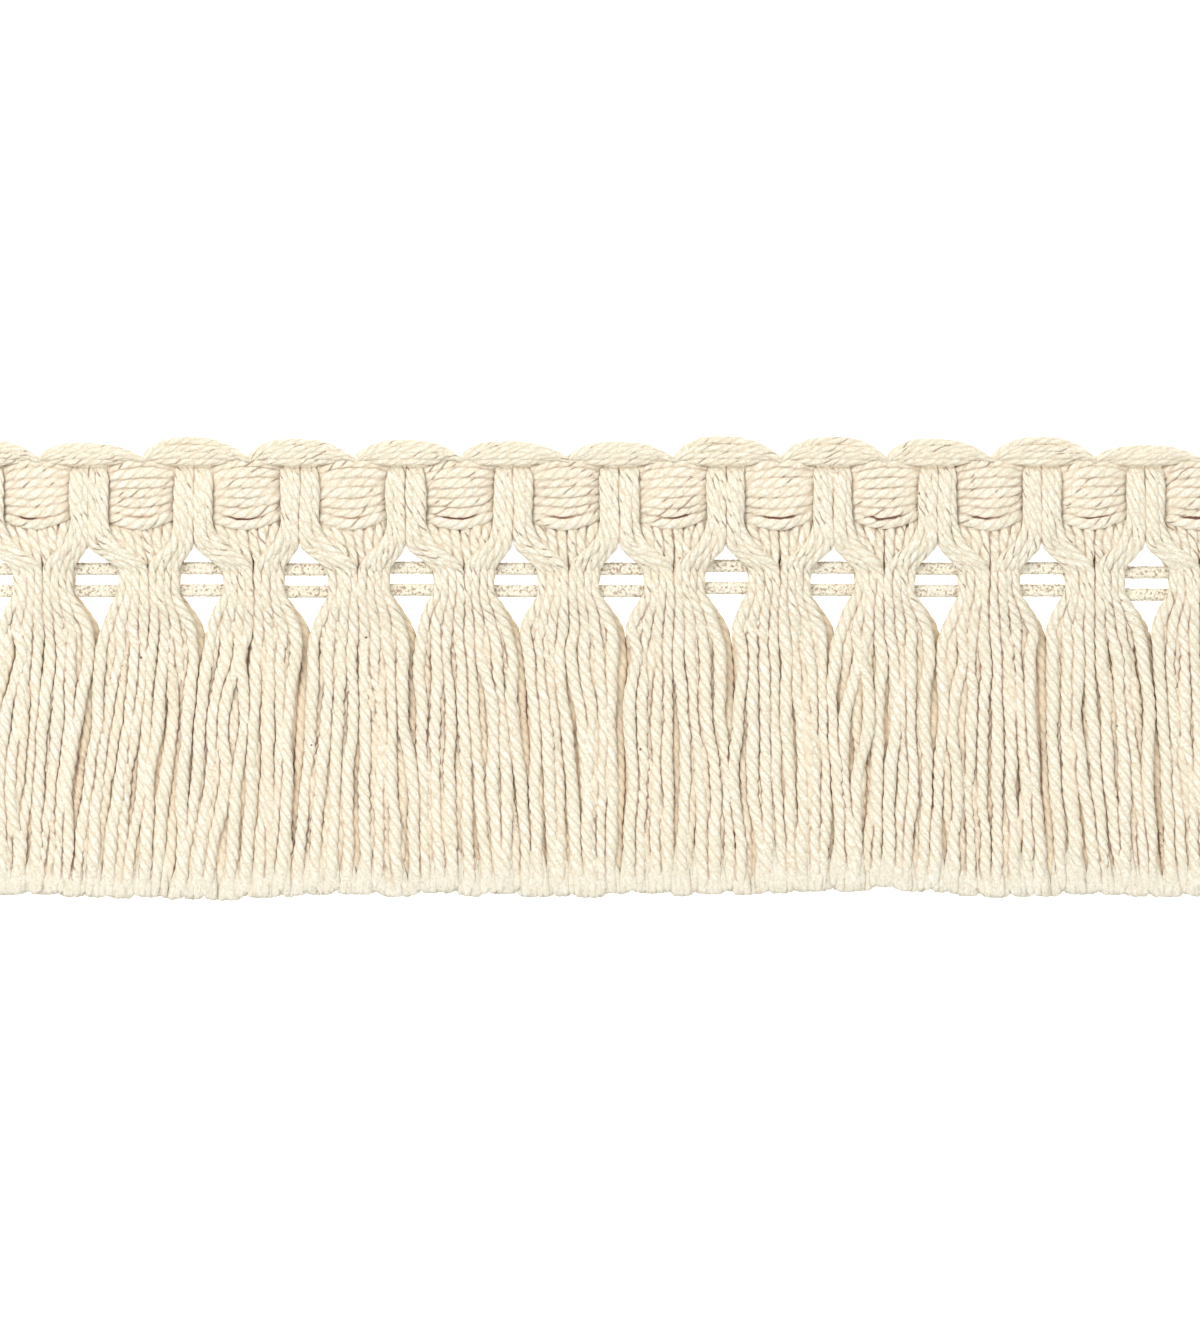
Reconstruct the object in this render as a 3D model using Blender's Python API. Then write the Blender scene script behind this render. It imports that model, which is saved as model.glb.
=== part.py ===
"""Tassel fringe trim: twelve folded yarn tassels on a bound heading with a scalloped edging.

The trim lies flat on its back. +X runs along it, +Y from the fringe's hem to the scalloped
edge, and +Z out of its face, with the origin under the middle of it. Sizes are in millimetres
and become metres where a point is made.
"""

import math
import random
from collections import namedtuple

import bmesh
import bpy
from mathutils import Vector

MM = 0.001

# Driving sizes of the trim.
PITCH = 17.5  # from one tassel to the next
CLEARANCE = 0.3  # between neighbouring pieces
BACK = 0.0  # the surface that the trim rests on
random.seed(17)

# One row for each tassel, from left to right. head_shift is how far its head sits off the line
# of its neck. The rest belongs to what follows it: the rise of the arch, the rise of the cords
# between the necks, and how far the edge of its skirt leans at the hem. hem is its own extra length.
Tassel = namedtuple("Tassel", "head_shift arch_rise cord_rise lean hem")
TASSELS = (
    Tassel(head_shift=-1.0, arch_rise=-0.5, cord_rise=0.0, lean=-5.0, hem=0.0),
    Tassel(head_shift=-1.2, arch_rise=0.5, cord_rise=0.1, lean=-4.2, hem=0.6),
    Tassel(head_shift=-1.2, arch_rise=0.2, cord_rise=-0.1, lean=-2.7, hem=0.3),
    Tassel(head_shift=-1.0, arch_rise=0.0, cord_rise=0.2, lean=1.3, hem=0.1),
    Tassel(head_shift=-0.75, arch_rise=-0.2, cord_rise=0.0, lean=3.2, hem=-0.1),
    Tassel(head_shift=-0.4, arch_rise=-0.3, cord_rise=0.0, lean=-0.7, hem=0.0),
    Tassel(head_shift=-0.4, arch_rise=0.6, cord_rise=0.5, lean=2.3, hem=-0.2),
    Tassel(head_shift=0.1, arch_rise=0.5, cord_rise=0.2, lean=0.0, hem=-0.4),
    Tassel(head_shift=0.15, arch_rise=0.2, cord_rise=0.0, lean=-1.3, hem=-1.2),
    Tassel(head_shift=0.0, arch_rise=0.5, cord_rise=0.1, lean=2.0, hem=-0.1),
    Tassel(head_shift=-0.25, arch_rise=-0.9, cord_rise=-0.6, lean=3.7, hem=0.1),
    Tassel(head_shift=-0.6, arch_rise=0.0, cord_rise=0.0, lean=1.2, hem=0.2),
)
COUNT = len(TASSELS)
LEFT_END_LEAN = -1.0  # of the first skirt's free edge

# Heading bundle: five yarns side by side, which swell between the legs and are pinched under them.
HEADING_YARNS = 5
HEADING_BACK = 1.6
Section = namedtuple("Section", "bottom top front")
BLOCK_MIDDLE = Section(bottom=22.75, top=32.9, front=6.6)
BLOCK_SIDE = Section(bottom=24.0, top=32.8, front=6.1)
PINCHED = Section(bottom=25.0, top=32.4, front=4.3)
BLOCK_SHOULDER = 0.5  # from a leg's side to where the block has its full height
YARN_GROOVE = 0.45

# Legs of each tassel: two yarns each, from the neck over the heading and its top edge to the back.
LEG_WIDTH = 2.7
LEG_GROOVE = 0.5
LegStation = namedtuple("LegStation", "spread width inner_y inner_z outer_y outer_z")
LEG_STATIONS = (
    LegStation(spread=0.84, width=2.4, inner_y=20.6, inner_z=3.2, outer_y=20.6, outer_z=5.2),
    LegStation(spread=0.97, width=2.7, inner_y=23.3, inner_z=4.6, outer_y=22.7, outer_z=6.4),
    LegStation(spread=1.0, width=2.7, inner_y=30.8, inner_z=4.7, outer_y=31.4, outer_z=6.7),
    LegStation(spread=1.0, width=2.7, inner_y=33.2, inner_z=4.0, outer_y=34.1, outer_z=5.6),
    LegStation(spread=1.0, width=2.7, inner_y=33.2, inner_z=2.0, outer_y=34.1, outer_z=2.0),
    LegStation(spread=1.0, width=2.7, inner_y=33.25, inner_z=0.6, outer_y=34.05, outer_z=0.6),
)

# Back panel: the other half of the hank, spread flat behind the heading.
PANEL_THICKNESS = 1.3
PANEL_TOP = 34.4
PANEL_SIDE = 24.5  # where its sides start to draw in towards the neck
PANEL_FOOT = 17.5
PANEL_FOOT_WIDTH = 9.6

# Neck, from under the heading down to the roots of the strands. inset is how far its side lies
# from the line between two tassels, head how much of the head's shift that line takes, and lift
# how far the front rises towards its sides.
NECK_BACK = 0.2
NECK_MIDDLE = 2.75
NECK_CORNER = 0.45
NECK_GROOVE = 0.45
NECK_PARTING = 0.9  # depth of the line down its middle
NeckStation = namedtuple("NeckStation", "y lift inset head side_front middle_front")
NECK_STATIONS = (
    NeckStation(y=22.3, lift=1.4, inset=0.2, head=0.8, side_front=5.7, middle_front=4.4),
    NeckStation(y=19.9, lift=0.0, inset=0.25, head=0.5, side_front=5.7, middle_front=5.1),
    NeckStation(y=18.2, lift=0.0, inset=2.1, head=0.2, side_front=5.3, middle_front=5.6),
    NeckStation(y=16.8, lift=0.0, inset=3.4, head=0.0, side_front=5.0, middle_front=5.8),
    NeckStation(y=13.2, lift=0.0, inset=3.6, head=0.0, side_front=5.0, middle_front=5.8),
    NeckStation(y=10.2, lift=0.0, inset=1.95, head=0.0, side_front=4.4, middle_front=5.0),
)

# Skirt: ten strands abreast in two layers, the lower one level on the surface.
COLUMNS = 10
FAN_Y = 5.4  # where the skirts of neighbouring tassels meet
MIDDLE_Y = -16.0
HEM_Y = -37.6
STRAND_THICKNESS = 1.6
STRAND_SWAY = 0.08
HEM_SWAY = 0.35
BACK_STAGGER = 0.04  # of the skirt's width, so that lower strands show between upper ones

# Binding cords, which run through the necks.
CORD_RADIUS = 1.15
CORD_SIDES = 8
CORD_HEIGHT = 2.75
CORD_Y = {"cord_upper": 16.6, "cord_lower": 12.9}
CORD_TURN = 5.6  # from a neck's middle to where a cord leaves it

# Scalloped edging: two yarns abreast in arches over the leg tops.
EDGING_BACK = 1.75
EDGING_FRONT = 6.2
EDGING_GROOVE = 0.6
ARCH_PEAK = 38.1
ARCH_VALLEY = 35.1
ARCH_SEAT = 33.3  # inner edge over a block
ARCH_LEG_SEAT = 34.5  # inner edge over the leg tops
ARCH_LEG_REACH = 0.45  # the share of an arch's half width that lies over the legs
ARCH_LEAN = -1.0  # the peak lies this far off the middle of the two legs below it
ARCH_STEPS = (-0.7, -0.42, 0.0, 0.42, 0.7)

CREAM = (0.87, 0.80, 0.64, 1.0)
PALE_CREAM = (0.90, 0.83, 0.68, 1.0)
CORD_CREAM = (0.83, 0.76, 0.61, 1.0)


def clear_scene():
    for leftover in list(bpy.data.objects):
        bpy.data.objects.remove(leftover, do_unlink=True)


def yarn_material(name, colour):
    material = bpy.data.materials.new(name)
    material.use_nodes = True
    shader = material.node_tree.nodes["Principled BSDF"]
    shader.inputs["Base Color"].default_value = colour
    shader.inputs["Roughness"].default_value = 0.92
    shader.inputs["Metallic"].default_value = 0.0
    return material


def point(x, y, z):
    return Vector((x, y, z)) * MM


def ring_of(mesh, places):
    return [mesh.verts.new(point(*place)) for place in places]


def skin(mesh, ring_a, ring_b):
    """Joins two rings of as many vertices with a band of faces."""
    for k, vert in enumerate(ring_a):
        following = (k + 1) % len(ring_a)
        mesh.faces.new((vert, ring_a[following], ring_b[following], ring_b[k]))


def loft(mesh, sections):
    """A closed body through sections of as many points each."""
    rings = [ring_of(mesh, places) for places in sections]
    for ring_a, ring_b in zip(rings, rings[1:]):
        skin(mesh, ring_a, ring_b)
    mesh.faces.new(rings[0])
    mesh.faces.new(rings[-1])


def finish(name, mesh, material=None):
    """Makes an object of a bmesh; one without a material is a helper that the build leaves out."""
    bmesh.ops.recalc_face_normals(mesh, faces=mesh.faces)
    data = bpy.data.meshes.new(name)
    mesh.to_mesh(data)
    mesh.free()
    made = bpy.data.objects.new(name, data)
    bpy.context.scene.collection.objects.link(made)
    if material:
        data.materials.append(material)
    else:
        made.hide_render = True
        made.display_type = "WIRE"
    return made


def combine(target, helper, operation):
    modifier = target.modifiers.new(helper.name, "BOOLEAN")
    modifier.operation = operation
    modifier.solver = "EXACT"
    modifier.object = helper


def neck_x(index):
    return (index - (COUNT - 1) / 2) * PITCH


def parting_x(index):
    """The line between tassel index and the next one, at the necks."""
    return neck_x(index) + PITCH / 2


def pair_x(index):
    """The line between the right leg of tassel index and the left leg of the next one."""
    shifts = [TASSELS[k].head_shift for k in (index, index + 1) if 0 <= k < COUNT]
    return parting_x(index) + sum(shifts) / len(shifts)


def side_x(index, head):
    return parting_x(index) + head * (pair_x(index) - parting_x(index))


def leg_x(index, side):
    """The middle of a tassel's leg; side is -1 for the left one and 1 for the right one."""
    line = pair_x(index) if side > 0 else pair_x(index - 1)
    return line - side * (LEG_WIDTH + CLEARANCE) / 2


def block_x(index):
    return (leg_x(index, -1) + leg_x(index, 1)) / 2


def heading_section(x, section):
    """Ring of the heading bundle: a flat back and a ridge for each yarn on the front."""
    places = [(x, section.bottom + 0.5, HEADING_BACK)]
    height = section.front - HEADING_BACK
    width = section.top - section.bottom
    for step in range(2 * HEADING_YARNS + 1):
        across = step / (2 * HEADING_YARNS)
        crown = 0.62 + 0.38 * math.sin(math.pi * across) ** 0.6
        groove = YARN_GROOVE if step % 2 == 0 else 0.0
        z = HEADING_BACK + height * crown - groove
        places.append((x, section.bottom + width * across, z))
    places.append((x, section.top - 0.5, HEADING_BACK))
    return places


def make_heading(material):
    mesh = bmesh.new()
    sections = [heading_section(pair_x(-1), PINCHED)]
    for index in range(COUNT):
        left = leg_x(index, -1) + LEG_WIDTH / 2 + CLEARANCE
        right = leg_x(index, 1) - LEG_WIDTH / 2 - CLEARANCE
        sections.append(heading_section(left, PINCHED))
        sections.append(heading_section(left + BLOCK_SHOULDER, BLOCK_SIDE))
        sections.append(heading_section(block_x(index), BLOCK_MIDDLE))
        sections.append(heading_section(right - BLOCK_SHOULDER, BLOCK_SIDE))
        sections.append(heading_section(right, PINCHED))
    sections.append(heading_section(pair_x(COUNT - 1), PINCHED))
    loft(mesh, sections)
    return finish("heading_bundle", mesh, material)


def edging_section(x, along, rise):
    """Ring of the edging; along runs from -1 at one valley through 0 at the peak to 1."""
    swell = 1 - along * along
    outer = ARCH_VALLEY + (ARCH_PEAK + rise - ARCH_VALLEY) * swell
    inner = ARCH_LEG_SEAT if abs(along) < ARCH_LEG_REACH else ARCH_SEAT
    middle = (outer + inner) / 2
    quarter = (outer - inner) / 4
    low = (EDGING_BACK + EDGING_FRONT) / 2
    return [
        (x, inner, low),
        (x, inner + quarter / 2, EDGING_BACK),
        (x, outer - quarter / 2, EDGING_BACK),
        (x, outer, low),
        (x, middle + quarter, EDGING_FRONT),
        (x, middle, EDGING_FRONT - EDGING_GROOVE),
        (x, middle - quarter, EDGING_FRONT),
    ]


def make_edging(material):
    mesh = bmesh.new()
    sections = []
    for index in range(-1, COUNT):
        rise = TASSELS[index].arch_rise if index >= 0 else 0.0
        cut_left = index < 0
        cut_right = index == COUNT - 1
        valley_left = pair_x(index) if cut_left else block_x(index)
        valley_right = pair_x(index) if cut_right else block_x(index + 1)
        peak = pair_x(index) if cut_left or cut_right else pair_x(index) + ARCH_LEAN
        if not cut_left:
            sections.append(edging_section(valley_left, -1, rise))
        for along in ARCH_STEPS:
            if (cut_left and along < 0) or (cut_right and along > 0):
                continue
            reach = peak - valley_left if along < 0 else valley_right - peak
            sections.append(edging_section(peak + along * reach, along, rise))
    loft(mesh, sections)
    return finish("scallop_edging", mesh, material)


def cord_sections(level, radius, overshoot):
    """Rings of a cord that is straight between necks and steps inside them."""
    stops = [(pair_x(-1) - overshoot, level)]
    for index in range(COUNT):
        before = TASSELS[index - 1].cord_rise if index > 0 else 0.0
        stops.append((neck_x(index) - CORD_TURN, level + before))
        stops.append((neck_x(index) + CORD_TURN, level + TASSELS[index].cord_rise))
    stops.append((pair_x(COUNT - 1) + overshoot, level))
    sections = []
    for x, y in stops:
        turns = [2 * math.pi * (k + 0.5) / CORD_SIDES for k in range(CORD_SIDES)]
        ring = [(x, y + radius * math.cos(t), CORD_HEIGHT + radius * math.sin(t)) for t in turns]
        sections.append(ring)
    return sections


def make_cord(name, material):
    mesh = bmesh.new()
    loft(mesh, cord_sections(CORD_Y[name], CORD_RADIUS, 0.0))
    return finish(name, mesh, material)


def make_tunnel(name):
    mesh = bmesh.new()
    loft(mesh, cord_sections(CORD_Y[name], CORD_RADIUS + CLEARANCE, 1.0))
    return finish("tunnel_" + name, mesh)


def make_legs(index):
    """Both legs as stirrups that start in the neck and end in the back panel."""
    mesh = bmesh.new()
    for side in (-1, 1):
        reach = leg_x(index, side) - neck_x(index)
        sections = []
        for station in LEG_STATIONS:
            x = neck_x(index) + reach * station.spread
            half = station.width / 2
            groove_y = station.outer_y
            groove_z = station.outer_z
            if station.inner_y == station.outer_y or station.inner_z != station.outer_z:
                groove_z -= LEG_GROOVE
            else:
                groove_y -= LEG_GROOVE
            sections.append(
                [
                    (x - half, station.inner_y, station.inner_z),
                    (x + half, station.inner_y, station.inner_z),
                    (x + half, station.outer_y, station.outer_z),
                    (x, groove_y, groove_z),
                    (x - half, station.outer_y, station.outer_z),
                ]
            )
        loft(mesh, sections)
    return finish(f"legs_{index + 1:02d}", mesh)


def make_panel(index):
    mesh = bmesh.new()
    foot = PANEL_FOOT_WIDTH / 2
    left = pair_x(index - 1) + CLEARANCE / 2
    right = pair_x(index) - CLEARANCE / 2
    outline = (
        (neck_x(index) - foot, PANEL_FOOT),
        (neck_x(index) + foot, PANEL_FOOT),
        (right, PANEL_SIDE),
        (right, PANEL_TOP),
        (left, PANEL_TOP),
        (left, PANEL_SIDE),
    )
    loft(mesh, [[(x, y, z) for x, y in outline] for z in (BACK, PANEL_THICKNESS)])
    return finish(f"panel_{index + 1:02d}", mesh)


def neck_front(station, column, across):
    """Height of the neck's front at a column line, ridged so that three yarns lie on each side."""
    height = station.middle_front + (station.side_front - station.middle_front) * across * across
    if column == COLUMNS // 2:
        return height - NECK_PARTING
    return height - (NECK_GROOVE if column % 2 else 0.0)


def neck_rows(index, station):
    """The front, middle and back rows of points across the neck at one station."""
    left = side_x(index - 1, station.head) + station.inset
    right = side_x(index, station.head) - station.inset
    front, middle, back = [], [], []
    for column in range(COLUMNS + 1):
        share = column / COLUMNS
        across = 2 * share - 1
        x_in = left + NECK_CORNER + (right - left - 2 * NECK_CORNER) * share
        front_y = station.y + station.lift * across * across
        front.append((x_in, front_y, neck_front(station, column, across)))
        middle.append((left + (right - left) * share, station.y, NECK_MIDDLE))
        back.append((x_in, station.y, NECK_BACK))
    return front, middle, back


def skirt_edge(index, y):
    """The line between the skirts of tassel index and the next one, which leans at the hem."""
    lean = TASSELS[index].lean if index >= 0 else LEFT_END_LEAN
    return parting_x(index) + lean * max(0.0, FAN_Y - y) / (FAN_Y - HEM_Y)


def strand_sections(index, column, layer):
    """The three rings of a strand past its root; layer is 0 for the lower one."""
    share = (column + 0.5) / COLUMNS
    if layer == 0:
        share += BACK_STAGGER * math.sin(math.pi * share)
    low = BACK + layer * (STRAND_THICKNESS + CLEARANCE)
    high = low + STRAND_THICKNESS
    hem = HEM_Y - TASSELS[index].hem + random.uniform(-HEM_SWAY, HEM_SWAY)
    sections = []
    for y in (FAN_Y, MIDDLE_Y, hem):
        left = skirt_edge(index - 1, y)
        right = skirt_edge(index, y)
        half = ((right - left) / COLUMNS - CLEARANCE) / 2 - STRAND_SWAY
        x = left + (right - left) * share + random.uniform(-STRAND_SWAY, STRAND_SWAY)
        sections.append([(x - half, y, low), (x + half, y, low), (x + half, y, high), (x - half, y, high)])
    return sections


def grow_strands(mesh, index, rows):
    """Strands out of the cells between the rows of vertices at the neck's lower end."""
    front, middle, back = rows
    for layer, (upper, lower) in enumerate(((middle, back), (front, middle))):
        for column in range(COLUMNS):
            ring = [lower[column], lower[column + 1], upper[column + 1], upper[column]]
            for places in strand_sections(index, column, layer):
                following = ring_of(mesh, places)
                skin(mesh, ring, following)
                ring = following
            mesh.faces.new(ring)


def make_tassel(index, material, tunnels):
    mesh = bmesh.new()
    rings = []
    for station in NECK_STATIONS[:-1]:
        front, middle, back = neck_rows(index, station)
        rings.append(ring_of(mesh, front + [middle[-1], back[-1], back[0], middle[0]]))
    for ring_a, ring_b in zip(rings, rings[1:]):
        skin(mesh, ring_a, ring_b)
    mesh.faces.new(rings[0])
    front, middle, back = [ring_of(mesh, row) for row in neck_rows(index, NECK_STATIONS[-1])]
    above = rings[-1]
    corner, foot_right, foot_left, corner_left = above[-4:]
    for column in range(COLUMNS):
        mesh.faces.new((above[column], above[column + 1], front[column + 1], front[column]))
    mesh.faces.new((above[COLUMNS], corner, middle[-1], front[-1]))
    mesh.faces.new((corner, foot_right, back[-1], middle[-1]))
    mesh.faces.new([foot_right, foot_left] + back)
    mesh.faces.new((foot_left, corner_left, middle[0], back[0]))
    mesh.faces.new((corner_left, above[0], front[0], middle[0]))
    grow_strands(mesh, index, (front, middle, back))
    tassel = finish(f"tassel_{index + 1:02d}", mesh, material)
    combine(tassel, make_legs(index), "UNION")
    combine(tassel, make_panel(index), "UNION")
    for tunnel in tunnels:
        combine(tassel, tunnel, "DIFFERENCE")
    return tassel


def build():
    clear_scene()
    yarn = yarn_material("cream_yarn", CREAM)
    heading_yarn = yarn_material("heading_yarn", PALE_CREAM)
    cord_yarn = yarn_material("cord_yarn", CORD_CREAM)
    make_heading(heading_yarn)
    make_edging(heading_yarn)
    tunnels = []
    for name in CORD_Y:
        make_cord(name, cord_yarn)
        tunnels.append(make_tunnel(name))
    for index in range(COUNT):
        make_tassel(index, yarn, tunnels)


build()
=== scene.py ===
import itertools
import math
from functools import lru_cache

import bmesh
import bpy
import numpy as np
from mathutils.kdtree import KDTree
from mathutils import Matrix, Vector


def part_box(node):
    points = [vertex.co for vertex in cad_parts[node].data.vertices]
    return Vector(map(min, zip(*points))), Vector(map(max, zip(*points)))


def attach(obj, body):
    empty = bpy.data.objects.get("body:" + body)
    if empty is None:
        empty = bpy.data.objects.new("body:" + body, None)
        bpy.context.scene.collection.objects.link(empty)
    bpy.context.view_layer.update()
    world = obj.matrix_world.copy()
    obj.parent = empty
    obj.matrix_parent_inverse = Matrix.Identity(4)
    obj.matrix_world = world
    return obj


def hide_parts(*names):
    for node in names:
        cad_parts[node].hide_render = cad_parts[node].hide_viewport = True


# Cream tassel fringe trim, lying on its back: +X along it, +Y towards the scalloped edge, +Z out of its face.
# Sizes are in millimetres until a mesh is made, and the cords' levels are read from the frame's pieces.

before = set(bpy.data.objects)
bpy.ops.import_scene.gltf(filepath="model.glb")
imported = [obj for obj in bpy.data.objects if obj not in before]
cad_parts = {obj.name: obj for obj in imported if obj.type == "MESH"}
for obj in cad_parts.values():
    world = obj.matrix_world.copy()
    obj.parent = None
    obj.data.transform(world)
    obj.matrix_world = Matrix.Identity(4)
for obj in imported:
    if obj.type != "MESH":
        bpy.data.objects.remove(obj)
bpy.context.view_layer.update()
print("frame:", len(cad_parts), "pieces")

mm = 0.001
yarn = {
    "radius": 0.96,
    "lay": 8.6,  # length of one turn of its plies
    "plies": 4,
    "sides": 12,
    "groove": 0.19,  # depth between plies, as a share of the radius
    "grooveShape": 1.5,  # over 1, grooves narrower than plies
    "slub": 0.05,  # how much its thickness wanders
    "slubWaves": (3, 7, 13),  # and how many times over its length
    "loose": 0.5,  # how much its twist and its grooves wander
    "twistWaves": (2, 5),
    "grooveWaves": (4, 9),
    "square": 0.78,  # under 1, pressed flatter against its neighbours
    "edge": 0.3,  # painted shade on its sides
    "sideBand": (0.6, 1.0),  # how far out that shade begins and is full
    "lineBand": (0.35, 0.7),  # the same for its painted dark shade lines
    "backBand": 0.35,  # half the width in which the painted shade on its back fades
}

# lists have one value for each tassel, in order along the trim, or for the parting to its right
trim = {
    "pitch": 17.5,
    "headShift": (-1.0, -1.2, -1.2, -1.0, -0.75, -0.4, -0.4, 0.1, 0.15, 0.0, -0.25, -0.6),  # of its two legs
    "archRise": (-0.5, 0.5, 0.2, 0.0, -0.2, -0.3, 0.6, 0.5, 0.2, 0.5, -0.9, 0.0),
    "archLean": (-1.6, -1.2, -1.1, -0.2, -2.0, -0.8, -1.0, 0.0, -1.6, -0.5, 0.0, 0.0),
    "cordRise": (0.0, 0.1, -0.1, 0.2, 0.0, 0.0, 0.5, 0.2, 0.0, 0.1, -0.6, 0.0),
    "hemLean": (-5.0, -4.2, -2.7, 1.3, 3.2, -0.7, 2.3, 0.0, -1.3, 2.0, 3.7, 1.2),  # of the parting by the hem
    "firstLean": -1.0,  # of the parting before the first tassel
    "hemDrop": (0.0, 0.6, 0.3, 0.1, -0.1, 0.0, -0.2, -0.4, -1.2, -0.1, 0.1, 0.2),
    "hem": -37.9,
    "fan": 4.6,  # where neighbouring skirts meet
    "legWidth": 2.7,
    "legGap": 0.3,
}
count = len(trim["headShift"])


def boxOf(name):
    low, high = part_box(name)
    return np.array(low) / mm, np.array(high) / mm


def neckX(index):
    return (index - (count - 1) / 2) * trim["pitch"]


def partingX(index):
    return neckX(index) + trim["pitch"] / 2


def pairX(index):  # the line between two neighbouring tassels' legs
    shifts = [trim["headShift"][k] for k in (index, index + 1) if 0 <= k < count]
    return partingX(index) + sum(shifts) / len(shifts)


def legX(index, side):
    line = pairX(index) if side > 0 else pairX(index - 1)
    return line - side * (trim["legWidth"] + trim["legGap"]) / 2


def blockX(index):
    return (legX(index, -1) + legX(index, 1)) / 2


def skirtEdge(index, y):
    lean = trim["hemLean"][index] if index >= 0 else trim["firstLean"]
    return partingX(index) + lean * np.maximum(0.0, trim["fan"] - y) / (trim["fan"] - trim["hem"])


def smoothStep(value, low, high):
    share = np.clip((value - low) / (high - low), 0, 1)
    return share * share * (3 - 2 * share)


def spread(value, shape):
    return np.broadcast_to(np.asarray(value, float), shape)


def addObject(name, data):
    made = bpy.data.objects.new(name, data)
    bpy.context.scene.collection.objects.link(made)
    return made


@lru_cache(maxsize=None)
def yarnTemplate(rings, sides):
    # the faces of one yarn, as the ring and side of each corner
    bm = bmesh.new()
    bmesh.ops.create_circle(bm, cap_ends=True, segments=sides, radius=1.0)
    tip = list(bm.faces)
    for ring in range(1, rings):
        grown = bmesh.ops.extrude_face_region(bm, geom=tip)["geom"]
        if ring > 1:
            bmesh.ops.delete(bm, geom=tip, context="FACES_ONLY")
        tip = [part for part in grown if isinstance(part, bmesh.types.BMFace)]
        bmesh.ops.translate(bm, verts=tip[0].verts, vec=(0, 0, 1))
    bmesh.ops.recalc_face_normals(bm, faces=bm.faces)
    place = {}
    for vert in bm.verts:
        side = round(math.atan2(vert.co.y, vert.co.x) / (2 * math.pi) * sides) % sides
        place[vert] = (round(vert.co.z), side)
    corners, sizes, around, along = [], [], [], []
    for face in bm.faces:
        spots = [place[vert] for vert in face.verts]
        wraps = len(spots) == 4 and {0, sides - 1} <= {side for _, side in spots}
        for ring, side in spots:
            corners.append(ring * sides + side)
            around.append((sides if wraps and side == 0 else side) / sides)
            along.append(ring)
        sizes.append(len(spots))
    bm.free()
    return np.array(corners), np.array(sizes), np.array(around), np.array(along)


def smoothPath(points, rings):
    # a smooth line through the points, with as many evenly spaced stops as rings
    points = np.asarray(points, float)
    guides = np.vstack([2 * points[0] - points[1], points, 2 * points[-1] - points[-2]])
    share = np.linspace(0, 1, 13)[:-1, None]
    spans = []
    for a, b, c, d in zip(guides, guides[1:], guides[2:], guides[3:]):
        bend = 2 * b + (c - a) * share + (2 * a - 5 * b + 4 * c - d) * share**2
        spans.append(0.5 * (bend + (3 * b - a - 3 * c + d) * share**3))
    dense = np.vstack(spans + [points[-1:]])
    run = np.concatenate([[0], np.cumsum(np.linalg.norm(np.diff(dense, axis=0), axis=1))])
    stops = np.linspace(0, run[-1], rings)
    return np.stack([np.interp(stops, run, dense[:, k]) for k in range(3)], axis=1)


def smoothPaths(paths, rings):
    return np.array([smoothPath(points, rings) for points in paths])


def runAlong(paths):
    # how far each ring is from the start of its yarn
    return np.cumsum(np.linalg.norm(np.diff(paths, axis=1, prepend=paths[:, :1]), axis=2), axis=1)


def wander(rng, shape, waves, size):
    # slow random swings along each of several yarns
    along = np.linspace(0, 1, shape[1])
    total = np.zeros(shape)
    for wave in waves:
        turns = rng.uniform(0.7, 1.3, (shape[0], 1)) * wave
        start = rng.uniform(0, 2 * math.pi, (shape[0], 1))
        total += np.sin(2 * math.pi * turns * along[None, :] + start) / len(waves)
    return total * size


owners = itertools.count(1000, 1000)  # each yarn gets a number of its own, with room for a thousand in a lot


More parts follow.
